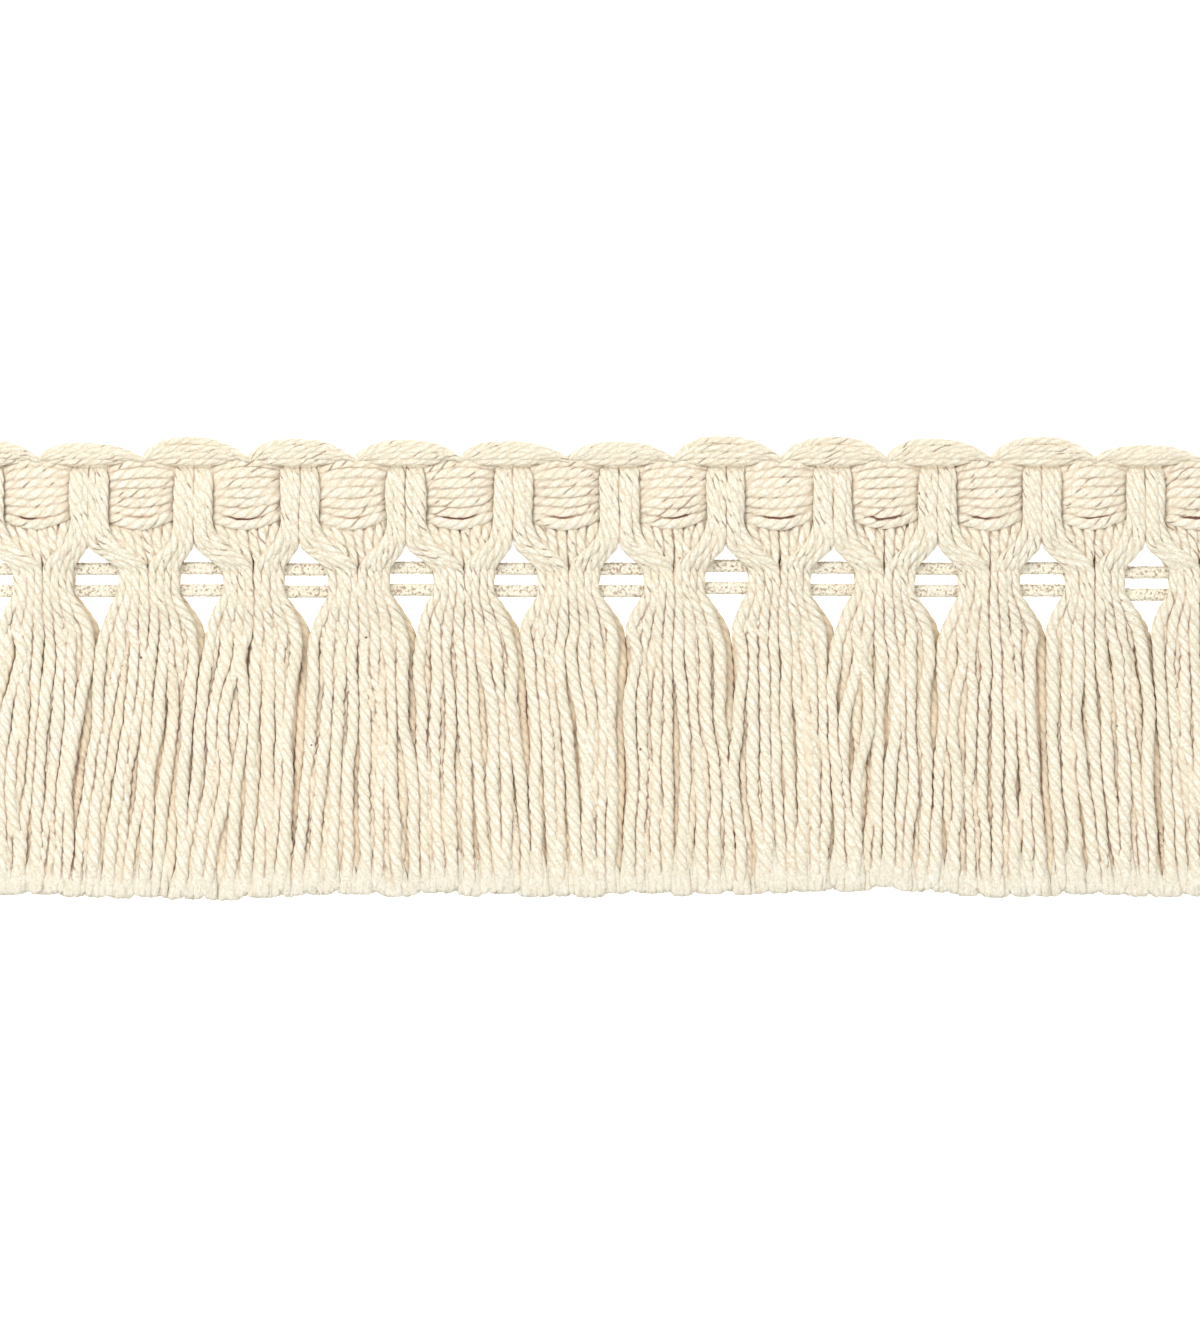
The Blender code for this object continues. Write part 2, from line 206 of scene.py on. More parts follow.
def layYarns(
    paths, rng, reference, radius=yarn["radius"], flat=1.0, twist=1.0, groove=yarn["groove"],
    sides=yarn["sides"], **marks
):
    # yarns along paths of as many points each, with their width along reference
    # marks: wide, a share; solid, False for soft locks; outward, -1 where the underside faces out of the trim
    # marks for the finish: tone, shade (painted shade), edge (painted shade of the sides), line (how strong
    # its painted dark shade lines are), tip
    n, rings = paths.shape[:2]
    rows = (n, rings)
    run = runAlong(paths)
    tangent = np.gradient(paths, axis=1)
    tangent /= np.linalg.norm(tangent, axis=2, keepdims=True)
    reference = np.array(reference, float)
    lateral = reference - (tangent @ reference)[..., None] * tangent
    lateral /= np.linalg.norm(lateral, axis=2, keepdims=True)
    upright = np.cross(tangent, lateral)
    swell = 1 + wander(rng, rows, yarn["slubWaves"], 2 * yarn["slub"])
    radius = spread(radius, rows) * swell
    wide = radius * marks.get("wide", 1.0)
    tall = radius * flat
    turn = rng.uniform(0, 2 * math.pi, (n, 1)) - 2 * math.pi * twist * run / yarn["lay"]
    turn = turn + wander(rng, rows, yarn["twistWaves"], yarn["loose"])
    base = 2 * math.pi * np.arange(sides) / sides
    depth = spread(groove, rows) * (1 + wander(rng, rows, yarn["grooveWaves"], yarn["loose"]))
    valley = (0.5 + 0.5 * np.cos(yarn["plies"] * base)) ** yarn["grooveShape"]
    reach = 1 - depth[..., None] * valley[None, None, :]
    angle = base[None, None, :] + turn[..., None]
    sideways, upwards = (
        np.sign(part) * np.abs(part) ** yarn["square"] for part in (np.cos(angle), np.sin(angle))
    )
    spots = paths[:, :, None, :] + (reach * sideways * wide[..., None])[..., None] * lateral[:, :, None, :]
    spots = spots + (reach * upwards * tall[..., None])[..., None] * upright[:, :, None, :]
    # painted shade: the share given, more on the sides, and full on the side that faces into the trim
    shade = spread(marks.get("shade", 0.0), rows)[..., None]
    shade = shade + marks.get("edge", yarn["edge"]) * smoothStep(np.abs(sideways), *yarn["sideBand"])
    hidden = smoothStep(-marks.get("outward", 1) * upwards, -yarn["backBand"], yarn["backBand"])
    tip = spread(marks.get("tip", 0.0), rows)[..., None]
    # where its painted dark shade lines may lie, and how strong they are
    line = marks.get("line", lambda spots: 1.0)(spots) * smoothStep(np.abs(sideways), *yarn["lineBand"])
    corners, sizes, around, along = yarnTemplate(rings, sides)
    first = (np.arange(n) * rings * sides)[:, None]
    shape = (n, rings, sides)
    ownTone = rng.uniform(0, 1, n)  # drawn in any case, which keeps the later draws as they are
    tone = spread(np.asarray(marks.get("tone", ownTone))[:, None, None], shape)
    shift = rng.uniform(0, 40, (n, 1))
    owner = np.broadcast_to(next(owners) + np.arange(n)[:, None], rows)
    return {
        "axis": paths.reshape(-1, 3),
        "axisWay": tangent.reshape(-1, 3),
        "axisRadius": wide.ravel(),
        "axisOwner": owner.ravel(),
        "solid": marks.get("solid", True),
        "owner": np.repeat(owner, sides, axis=1).ravel(),
        "spots": spots.reshape(-1, 3),
        "corners": (corners[None, :] + first).ravel(),
        "sizes": np.tile(sizes, n),
        "around": np.tile(around, n),
        "along": (run[:, along] + shift).ravel(),
        "tone": tone.ravel(),
        "shade": np.clip(shade + hidden, 0, 1).ravel(),
        "line": line.ravel(),
        "tip": np.broadcast_to(tip, shape).ravel(),
    }


pieces = []


def keepPiece(name, lots, material, slot, node):
    pieces.append({"name": name, "lots": lots, "material": material, "slot": slot, "node": node})


gaps = {
    "far": 0.6,  # a neighbour further off casts no line
    "deep": -0.4,  # and one pressed in further than this counts as this
    "neighbours": 8,
    "stretch": 1.2,  # a ring further along than this is no neighbour
    "merged": (0.85, 1.4),  # yarns whose middles are this near run into each other
    "mergedGap": 0.5,  # and show less of a gap
}


def measureGaps():
    # how far each point of each yarn is from the nearest other yarn
    solids = [lot for piece in pieces for lot in piece["lots"] if lot["solid"]]
    axis, way, radius, owner = (
        np.concatenate([lot[key] for lot in solids]) for key in ("axis", "axisWay", "axisRadius", "axisOwner")
    )
    tree = KDTree(len(axis))
    for k, spot in enumerate(axis):
        tree.insert(spot, k)
    tree.balance()
    for lot in (lot for piece in pieces for lot in piece["lots"]):
        lot["gap"] = np.full(len(lot["spots"]), gaps["far"])
        if not lot["solid"]:
            continue
        near = np.array([[hit[1] for hit in tree.find_n(spot, gaps["neighbours"])] for spot in lot["spots"]])
        away = lot["spots"][:, None, :] - axis[near]
        along = (away * way[near]).sum(axis=2)[..., None] * way[near]
        gap = np.linalg.norm(away - along, axis=2) - radius[near]
        own = np.repeat(lot["axis"], len(lot["spots"]) // len(lot["axis"]), axis=0)[:, None, :] - axis[near]
        apart = np.linalg.norm(own - (own * way[near]).sum(axis=2)[..., None] * way[near], axis=2)
        gap = gap + gaps["mergedGap"] * (1 - smoothStep(apart, *gaps["merged"]))
        other = owner[near] != lot["owner"][:, None]
        beside = np.abs(along).max(axis=2) <= gaps["stretch"]
        gap = np.where(other & beside, gap, gaps["far"])
        lot["gap"] = np.clip(gap.min(axis=1), gaps["deep"], gaps["far"])


marksKept = ("tone", "shade", "line", "tip", "gap")


def joinedPiece(name, lots, material, slot, node):
    # one mesh of every yarn in the lots
    first = np.cumsum([0] + [len(lot["spots"]) for lot in lots])
    keys = ("spots", "sizes", "around", "along", *marksKept)
    joined = {key: np.concatenate([lot[key] for lot in lots]) for key in keys}
    corners = np.concatenate([lot["corners"] + start for lot, start in zip(lots, first)])
    sizes = joined["sizes"]
    mesh = bpy.data.meshes.new(name)
    mesh.vertices.add(len(joined["spots"]))
    mesh.vertices.foreach_set("co", (joined["spots"] * mm).astype(np.float32).ravel())
    mesh.loops.add(len(corners))
    mesh.loops.foreach_set("vertex_index", corners.astype(np.int32))
    mesh.polygons.add(len(sizes))
    mesh.polygons.foreach_set("loop_start", (np.cumsum(sizes) - sizes).astype(np.int32))
    mesh.polygons.foreach_set("loop_total", sizes.astype(np.int32))
    mesh.update(calc_edges=True)
    unrolled = np.stack([joined["around"], joined["along"]], axis=1)
    mesh.uv_layers.new(name="yarn").data.foreach_set("uv", unrolled.astype(np.float32).ravel())
    for mark in marksKept:
        attribute = mesh.attributes.new(mark, "FLOAT", "POINT")
        attribute.data.foreach_set("value", joined[mark].astype(np.float32))
    mesh.shade_smooth()
    mesh.materials.append(material)
    piece = addObject(name, mesh)
    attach(piece, "root")
    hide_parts(node)


class Signal:
    # one socket of a material, with sums and products as Math nodes
    def __init__(self, finish, socket):
        self.finish = finish
        self.socket = socket

    def math(self, operation, first, second=None):
        values = {0: first} if second is None else {0: first, 1: second}
        return self.finish.node("ShaderNodeMath", {"operation": operation}, values)

    def __add__(self, other):
        return self.math("ADD", self, other)

    __radd__ = __add__

    def __sub__(self, other):
        return self.math("SUBTRACT", self, other)

    def __rsub__(self, other):
        return self.math("SUBTRACT", other, self)

    def __mul__(self, other):
        return self.math("MULTIPLY", self, other)

    __rmul__ = __mul__

    def cosine(self):
        return self.math("COSINE", self)

    def sine(self):
        return self.math("SINE", self)

    def within(self, low, high):  # 0 below low, 1 above high, smooth between
        return self.finish.node(
            "ShaderNodeMapRange",
            {"interpolation_type": "SMOOTHSTEP"},
            {"Value": self, "From Min": low, "From Max": high},
        )


class Finish:
    def __init__(self, name):
        self.material = bpy.data.materials.new(name)
        self.material.use_nodes = True
        self.tree = self.material.node_tree
        self.shader = self.tree.nodes["Principled BSDF"]

    def node(self, kind, settings=None, values=None, output=0):
        made = self.tree.nodes.new(kind)
        for key, value in (settings or {}).items():
            setattr(made, key, value)
        for key, value in (values or {}).items():
            self.feed(made.inputs[key], value)
        return Signal(self, made.outputs[output])

    def feed(self, socket, value):
        if isinstance(value, Signal):
            self.tree.links.new(value.socket, socket)
        else:
            socket.default_value = value

    def set(self, values):
        for key, value in values.items():
            self.feed(self.shader.inputs[key], value)

    def mark(self, name):
        return self.node("ShaderNodeAttribute", {"attribute_name": name}, output=2)

    def part(self, vector, axis):
        return self.node("ShaderNodeSeparateXYZ", None, {"Vector": vector}, axis)

    def noise(self, vector, scale, detail, roughness=0.5):
        values = {"Vector": vector, "Scale": scale, "Detail": detail, "Roughness": roughness}
        return self.node("ShaderNodeTexNoise", None, values)

    def blend(self, share, first, second):
        made = self.tree.nodes.new("ShaderNodeMix")
        made.data_type = "RGBA"
        self.feed(made.inputs[0], share)
        self.feed(made.inputs[6], first)
        self.feed(made.inputs[7], second)
        return Signal(self, made.outputs[2])


texture = {
    # scales of what the yarns' finish draws on the whole piece, and then of its streaks along each yarn
    "seeds": 115.0,
    "dashes": 140.0,
    "patches": 170.0,
    "strokes": 400.0,
    "grain": 2200.0,
    "streaks": 3.0,
    "fineStreaks": 8.0,
    "stretch": 0.3,  # under 1, streaks drawn out along the yarn
    "strokesFrom": (4, 13),  # heights between which the painted dark shade strokes set in
    "seed": (0.022, 0.036),  # radius of a seed, and of its soft rim
    "speckRim": 0.08,
    "relief": 0.14,
}


def yarnFinish(name, look):
    finish = Finish(name)
    spot = finish.node("ShaderNodeUVMap", {"uv_map": "yarn"})
    around = finish.part(spot, 0)
    along = finish.part(spot, 1)
    shade, line, tip, tone, gap = (finish.mark(mark) for mark in ("shade", "line", "tip", "tone", "gap"))
    plies = (around * (2 * math.pi * yarn["plies"])).cosine()
    plyGroove = plies.within(0.3, 1.0) * (1 - tip)
    turn = around * (2 * math.pi)
    fibreSpot = finish.node(
        "ShaderNodeCombineXYZ",
        None,
        {0: turn.cosine() * look["fibres"], 1: turn.sine() * look["fibres"], 2: along * texture["stretch"]},
    )
    streak = finish.noise(fibreSpot, texture["streaks"], 2.0, 0.7)
    fine = finish.noise(fibreSpot, texture["fineStreaks"], 1.0, 0.6)
    place = finish.node("ShaderNodeTexCoord", output=3)
    patch = finish.noise(place, texture["patches"], 2.0)
    grain = finish.noise(place, texture["grain"], 2.0)
    # the cotton's own colour, painted shade on its undersides and sides and in the grooves between plies,
    # then its specks and mottle
    light = (streak * 0.75 + fine * 0.25).within(0.4, 0.6)
    colour = finish.blend(light, look["cream"], look["pale"])
    colour = finish.blend(tone * 0.4 * patch.within(0.3, 0.7), colour, look["warm"])
    colour = finish.blend(tip * 0.28, colour, look["end"])
    # painted shade on undersides, shaded sides and yarns that lie under others
    colour = finish.blend(shade * look["shadeShare"], colour, look["under"])
    # painted shade in the grooves between plies
    grooveShare = plyGroove * (0.45 + 0.55 * streak.within(0.3, 0.6)) * look["grooveShade"]
    colour = finish.blend(grooveShare, colour, look["groove"])
    specks = grain.within(look["speckFrom"], look["speckFrom"] + texture["speckRim"]) * look["specks"]
    colour = finish.blend(specks + grain.within(0.3, 0.6) * look["mottle"], colour, look["groove"])
    # painted shade: tan beside a neighbour, and a dark broken line where the two touch
    dash = finish.noise(place, texture["dashes"], 1.0).within(0.38, 0.6)
    flankShade = (1 - (gap + fine * 0.12).within(0.04, 0.36)) * (1 - tip * 0.6) * (0.4 + line * 0.6)
    colour = finish.blend(flankShade * look["flankShare"], colour, look["flankShade"])
    touchShade = (1 - (gap + fine * 0.16 - 0.08).within(0.0, 0.085)) * (1 - tip) * line * (0.25 + dash * 0.75)
    colour = finish.blend(touchShade * look["coreShare"], colour, look["creviceShadeAndSeeds"])
    # painted shade: short dark strokes here and there along the grooves between plies, above the skirts
    low, high = texture["strokesFrom"]
    above = finish.part(place, 1).within(low * mm, high * mm)
    sparse = finish.noise(place, texture["strokes"], 1.0)
    stroke = plies.within(0.7, 0.98) * sparse.within(0.585, 0.66) * above
    colour = finish.blend(stroke * (1 - tip) * look["strokes"], colour, look["creviceShadeAndSeeds"])
    # seeds: dark specks of the cotton itself, in the same dark colour
    seeds = finish.node("ShaderNodeTexVoronoi", None, {"Vector": place, "Scale": texture["seeds"]})
    colour = finish.blend((1 - seeds.within(*texture["seed"])) * 0.9, colour, look["creviceShadeAndSeeds"])
    relief = streak * 0.7 + fine * 0.4 + grain * 0.3 - plyGroove * 0.4
    depth = {"Height": relief, "Strength": look["bump"], "Distance": texture["relief"] * mm}
    finish.set({"Base Color": colour, "Normal": finish.node("ShaderNodeBump", None, depth)})
    finish.set({"Roughness": 0.9, "Sheen Weight": 0.2, "Sheen Roughness": 0.6, "Specular IOR Level": 0.15})
    return finish.material


cotton = yarnFinish(
    "creamCotton",
    {
        "cream": (0.765, 0.74, 0.575, 1),
        "pale": (0.94, 0.94, 0.845, 1),
        "warm": (0.835, 0.79, 0.62, 1),
        # painted shade colours: groove, between plies (it also tints the specks and mottle); under, on
        # undersides and shaded sides; the flank colour, beside a neighbour; the crevice colour, the dark
        # lines where yarns touch (it also colours the seeds)
        "groove": (0.68, 0.55, 0.395, 1),
        "under": (0.82, 0.675, 0.47, 1),
        "end": (0.71, 0.72, 0.66, 1),
        "flankShade": (0.80, 0.555, 0.36, 1),
        "creviceShadeAndSeeds": (0.17, 0.075, 0.055, 1),
        # grooveShade and strokes: painted shade between plies; speckFrom to mottle: the cotton's own specks;
        # the three shares after: painted shade on undersides, beside neighbours and in the dark lines
        "grooveShade": 0.68,
        "strokes": 0.62,
        "speckFrom": 0.59,
        "specks": 0.46,
        "mottle": 0.3,
        "shadeShare": 0.65,
        "flankShare": 0.34,
        "coreShare": 0.74,
        "fibres": 1.3,
        "bump": 0.9,
    },
)
cordCotton = yarnFinish(
    "cordCotton",
    {
        "cream": (0.92, 0.87, 0.70, 1),
        "pale": (0.96, 0.93, 0.80, 1),
        "warm": (0.90, 0.80, 0.62, 1),
        # under: painted shade on undersides and sides; the groove colour here only tints the specks and
        # mottle, and the crevice colour only the seeds, as the shares of painted lines are nil
        "groove": (0.50, 0.37, 0.27, 1),
        "under": (0.85, 0.70, 0.50, 1),
        "end": (0.85, 0.82, 0.70, 1),
        "flankShade": (0.85, 0.70, 0.50, 1),
        "creviceShadeAndSeeds": (0.26, 0.14, 0.10, 1),
        "grooveShade": 0.0,
        "strokes": 0.0,
        "speckFrom": 0.55,
        "specks": 0.9,
        "mottle": 0.12,
        "shadeShare": 0.15,
        "flankShare": 0.0,
        "coreShare": 0.0,
        "fibres": 1.0,
        "bump": 0.9,
    },
)

tassel = {
    "seed": 400,
    "columns": 10,
    "rings": {"leg": 150, "middle": 72, "inner": 84},
    "frontZ": 2.35,  # middle of the upper layer of the skirt
    "backZ": 1.4,
    "lowest": 0.9,
    "neckTurns": ((12.0, 5.3), (9.75, 6.65), (7.6, 7.75), (5.9, 8.45), (4.6, 8.72)),  # height and half width
    "neckStops": ((14.75, 1.0, 0.0), (12.3, 1.01, 0.05)),  # height, share of its place on the neck, depth
    "neckReach": 4.3,  # place of the outermost yarn on the neck
    "neckInset": 0.95,
    "neckFront": 4.95,
    "neckRound": 0.035,
    # height, share of the way from the neck's width to the skirt's, and of the way down to its level
    "fanTurns": ((9.6, 0.45, 0.35), (6.4, 0.86, 0.72)),
    "skirtTurns": ((2.0, 0.25), (-8.0, 0.08), (-19.0, 0.0), (-29.0, 0.0)),  # height and rise over the layer
    "hemSway": 1.6,  # how much further the ends sway than the last turn
    "hemDip": 0.25,
    "cut": (0.7, 1.3),  # how far over the hem a yarn is cut
    "backCut": 0.3,  # and how much further at the back
    # height, share of the way from the neck to the leg, and rise
    "shoulder": ((16.7, 0.03, 0.05), (17.8, 0.22, 0.2), (19.5, 0.68, 0.45)),
    "legFibres": (
        # offset on the leg, depth in it, place on the neck, column of the skirt, height of the turn
        {"leg": 0.82, "depth": 0.05, "neck": 4.3, "column": 8.9, "turnY": 20.6},
        {"leg": -0.05, "depth": -0.05, "neck": 3.1, "column": 7.65, "turnY": 21.9},
        {"leg": -0.95, "depth": 0.1, "neck": 1.9, "column": 6.4, "turnY": 23.3},
        {"leg": -0.4, "depth": 1.0, "neck": 0.7, "column": 5.15, "turnY": 23.8},
    ),
    "middles": (
        # place under the block, on the neck, column of the skirt and how far down in it
        {"under": -4.8, "neck": -3.6, "column": 0.7, "sunk": 0.55},
        {"under": -2.85, "neck": -2.5, "column": 2.0, "sunk": 0.35},
        {"under": -0.96, "neck": -0.87, "column": 3.3, "sunk": 0.6},
        {"under": 0.96, "neck": 0.87, "column": 5.7, "sunk": 0.6},
        {"under": 2.85, "neck": 2.5, "column": 7.0, "sunk": 0.35},
        {"under": 4.8, "neck": 3.6, "column": 8.3, "sunk": 0.55},
    ),
    "inners": (4, 5),  # places on the back panel of the yarns that stay behind
    "legFront": 5.9,
    "panelZ": 0.95,
    "backLevels": (2.0, 0.95),  # of every other yarn at the back of the neck
    "backWidth": 8.8,
    "pinches": ((16.4, 0.55), (12.3, 0.25)),  # heights of the binding cords, and how deep they press
    "pinchWidth": 0.6,
    "sway": 0.5,
    "backSway": 0.35,  # of the back layer, as a share
    "squeeze": 0.2,  # how much closer the middle yarns lie at the top of the skirt
    "squeezeLong": 24.0,
    "partingGap": 0.1,
    "lift": 0.26,
    "roaming": 0.3,  # share of the yarns that wander further
    "roamSway": 2.6,  # and how much further
    "drift": ((4, 9, 17), 0.25),  # waves and size of the small swings sideways
    "bob": ((5, 8, 15), 0.16),  # and of those up and down
    "wide": 1.17,
    "flat": 0.92,
    "brushed": 5.0,  # length of the untwisted end
    "brushedWide": 0.3,
    "brushedFlat": 0.25,
    "lowWide": 0.12,  # how much wider the yarns of the back layer are
    "pressed": 0.2,  # how much thinner a yarn is in the neck
    "dome": (0.5, 0.7, 0.86, 0.97),  # thickness of the last rings of a cut end, from its tip
}


def halfWidth(y):
    heights, widths = zip(*reversed(tassel["neckTurns"]))
    return float(np.interp(y, heights, widths))


def skirtX(index, column, y, layer=1):
    # where a column lies at a height; those of the back layer, 0, lie half a column further
    share = (column + (0.5 if layer else 1.0)) / tassel["columns"]
    left = skirtEdge(index - 1, y)
    right = skirtEdge(index, y)
    if y > trim["fan"]:
        left = neckX(index) - halfWidth(y)
        right = neckX(index) + halfWidth(y)
    across = 2 * share - 1
    squeeze = tassel["squeeze"] * float(1 - smoothStep(trim["fan"] - y, 0.0, tassel["squeezeLong"])) * layer
    across *= 1 - squeeze * (1 - across**2)
    return (left + right) / 2 + across * (right - left - tassel["partingGap"]) / 2


def layerZ(layer):
    return tassel["frontZ"] if layer else tassel["backZ"]


def skirtRun(index, column, layer, hem, rng):
    # points from the fan down to the hem
    roams = layer and rng.random() < tassel["roaming"]
    further = tassel["roamSway"] if roams else 1.0 if layer else tassel["backSway"]
    sway = rng.uniform(-1, 1, 4) * tassel["sway"] * further
    lift = rng.uniform(-1, 1, 4) * tassel["lift"] * layer + (tassel["lift"] if roams else 0.0)
    points = []
    for k, (y, rise) in enumerate(tassel["skirtTurns"]):
        x = skirtX(index, column, y, layer) + sway[k]
        points.append((x, y, layerZ(layer) + rise * layer + lift[k]))
    x = skirtX(index, column, hem, layer) + sway[-1] * tassel["hemSway"]
    return points + [(x, hem, layerZ(layer) - tassel["hemDip"] * layer)]


def fanRun(index, column, neck, neckZ, layer):
    # points from the neck down to where the skirts meet
    x = neckX(index)
    points = [(x + neck * share, y, neckZ - depth) for y, share, depth in tassel["neckStops"]]
    for y, share, drop in tassel["fanTurns"]:
        own = x + neck * (halfWidth(y) - tassel["neckInset"]) / tassel["neckReach"]
        spreading = own + (skirtX(index, column, y, layer) - own) * share
        points.append((spreading, y, neckZ + (layerZ(layer) - neckZ) * drop))
    return points


lobes = {
    "seed": 5,
    "count": 80,
    "first": -112.0,
    "narrow": 3.2,
    "wide": 7.2,
    "deep": 1.35,
    "uneven": (-0.4, 0.35),
    "square": 4,  # over 2, flatter than a round lobe
}
lobeRng = np.random.default_rng(lobes["seed"])
lobeEdges = lobes["first"] + np.cumsum(lobeRng.uniform(lobes["narrow"], lobes["wide"], lobes["count"]))
lobeDrops = lobeRng.uniform(*lobes["uneven"], lobes["count"])


def hemAt(x):
    # the lowest point of the fringe at each x, in rounded lobes
    x = np.asarray(x, float)
    necks = [neckX(index) for index in range(count)]
    drop = np.interp(x, necks, trim["hemDrop"])
    k = np.clip(np.searchsorted(lobeEdges, x) - 1, 0, len(lobeEdges) - 2)
    share = (x - lobeEdges[k]) / (lobeEdges[k + 1] - lobeEdges[k])
    bulge = np.sqrt(np.clip(1 - (2 * share - 1) ** lobes["square"], 0, 1))
    return trim["hem"] + lobes["deep"] * (1 - bulge) - drop + lobeDrops[k]


def hemY(index, column, layer, rng):
    # where a yarn is cut, a little above the ends of its locks
    return float(hemAt(skirtX(index, column, trim["hem"], layer))) + rng.uniform(*tassel["cut"])


def panelX(index, place):
    left = pairX(index - 1)
    return left + (pairX(index) - left) * (place + 0.5) / tassel["columns"]


def backRun(index, place, rng):
    # from under the back panel over the back of the neck to the hem
    x = neckX(index)
    panel = panelX(index, place)
    back = x - tassel["backWidth"] / 2 + tassel["backWidth"] * (place + 0.5) / tassel["columns"]
    backZ = tassel["backLevels"][place % 2]
    points = [(back + (panel - back) * 0.35, 19.3, 0.5 * (tassel["panelZ"] + backZ))]
    points += fanRun(index, place, back - x, backZ, 0)
    hem = hemY(index, place, 0, rng) + tassel["backCut"]
    return points + skirtRun(index, place, 0, hem, rng)


def legPath(index, side, fibre, place, rng):
    # front hem, neck, leg, over the top, back panel, neck again and back hem
    column = fibre["column"] if side > 0 else tassel["columns"] - 1 - fibre["column"]
    x = neckX(index)
    leg = legX(index, side) + side * fibre["leg"]
    neck = side * fibre["neck"]
    front = tassel["legFront"] - fibre["depth"]
    hem = hemY(index, column, 1, rng)
    points = skirtRun(index, column, 1, hem, rng)[::-1]
    neckZ = tassel["neckFront"] - tassel["neckRound"] * fibre["neck"] ** 2
    points += fanRun(index, column, neck, neckZ, 1)[::-1]
    higher = fibre["turnY"] - tassel["legFibres"][0]["turnY"]
    for y, share, rise in tassel["shoulder"]:
        points.append((x + neck + (leg - x - neck) * share, y + 0.5 * higher * share, neckZ + rise))
    panel = panelX(index, place)
    points += [
        (leg - side * 0.03, fibre["turnY"] + 0.6, front - 0.2),
        (leg, 27.2, front + 0.05),
        (leg, 31.2, front - 0.15),
        (leg, 33.25, 3.9 - 0.3 * fibre["depth"]),
        (leg + (panel - leg) * 0.4, 32.3, 1.25),
        (panel, 28.5, tassel["panelZ"]),
        (panel, 24.0, tassel["panelZ"]),
    ]
    return points + backRun(index, place, rng)


def middlePath(index, way, rng):
    # a yarn that comes from behind the heading into the middle of the neck
    x = neckX(index)
    start = blockX(index) + way["under"]
    points = [
        (start, 26.8, 3.0),
        (start, 25.2, 3.75),
        (start - 0.06 * way["under"], 23.3, 4.45),
        (x + (start - x) * 0.62 + way["neck"] * 0.2, 20.6, 4.55),
        (x + way["neck"], 17.5, 4.5),
    ]
    points += fanRun(index, way["column"], way["neck"], 4.1 - way["sunk"], 1)
    hem = hemY(index, way["column"], 1, rng)
    run = skirtRun(index, way["column"], 1, hem, rng)
    return points + [(spot[0], spot[1], spot[2] - way["sunk"]) for spot in run]


def innerPath(index, place, rng):
    # a yarn of the back panel that stays behind
    levels = ((33.2, 1.6), (31.0, 0.98), (27.0, tassel["panelZ"]), (23.5, tassel["panelZ"]))
    return [(panelX(index, place), y, z) for y, z in levels] + backRun(index, place, rng)


def endMarks(paths, ends):
    # how far each ring is on its way to a brushed end: 0 on the yarn, 1 at the cut
    fromStart = runAlong(paths)
    away = {"start": fromStart, "end": fromStart[:, -1:] - fromStart}
    tip = np.zeros(paths.shape[:2])
    for end in ends:
        tip = np.maximum(tip, 1 - away[end] / tassel["brushed"])
    return smoothStep(tip, 0, 1)


def endDome(paths, ends):
    # cut ends are rounded off over their last rings
    dome = np.ones(paths.shape[:2])
    for end in ends:
        for ring, share in enumerate(tassel["dome"]):
            dome[:, ring if end == "start" else -1 - ring] = share
    return dome


def tasselLine(index):
    # painted dark shade lines show on the skirt, most along its sides, and down the middle of the neck, and
    # less elsewhere
    def strength(spots):
        x, y, z = spots[..., 0], spots[..., 1], spots[..., 2]
        skirt = 1 - smoothStep(y, 6.0, 12.0)
        middle = (1 - smoothStep(np.abs(x - neckX(index)), 0.25, 0.5)) * (z > 3)
        legs = 0.95 * smoothStep(y, 21.0, 24.0) * (z > 4)
        away = np.minimum(np.abs(x - skirtEdge(index - 1, y)), np.abs(x - skirtEdge(index, y)))
        sides = (1 - smoothStep(away, 0.4, 1.1)) * (1 - smoothStep(y, 0.0, trim["fan"]))
        return np.maximum(np.maximum(0.5 + 0.5 * skirt, middle), legs) + 0.8 * sides

    return strength


def sunkShade(paths, outward):
    # painted shade, tan, where a yarn lies under others: the back layer, and the sunk yarns of the skirt
    if outward < 0:
        return 0.35 * (np.gradient(paths[..., 1], axis=1) < 0)
    return 0.45 * (1 - smoothStep(paths[..., 1], -2.0, 9.0))


brush = {
    "locks": 5,  # on a yarn of the upper layer
    "backLocks": 3,
    "rings": (0.0, 0.2, 0.4, 0.6, 0.78, 0.91, 1.0),
    "thick": (0.2, 0.36, 0.46, 0.52, 0.54, 0.46, 0.22),
    "long": (5, 9),  # rings of the yarn that they cover
    "across": 1.4,
    "deep": 0.14,
    "uneven": 0.14,
    "fuzz": 0.1,
    "lowest": 0.45,
    "sides": 7,
}


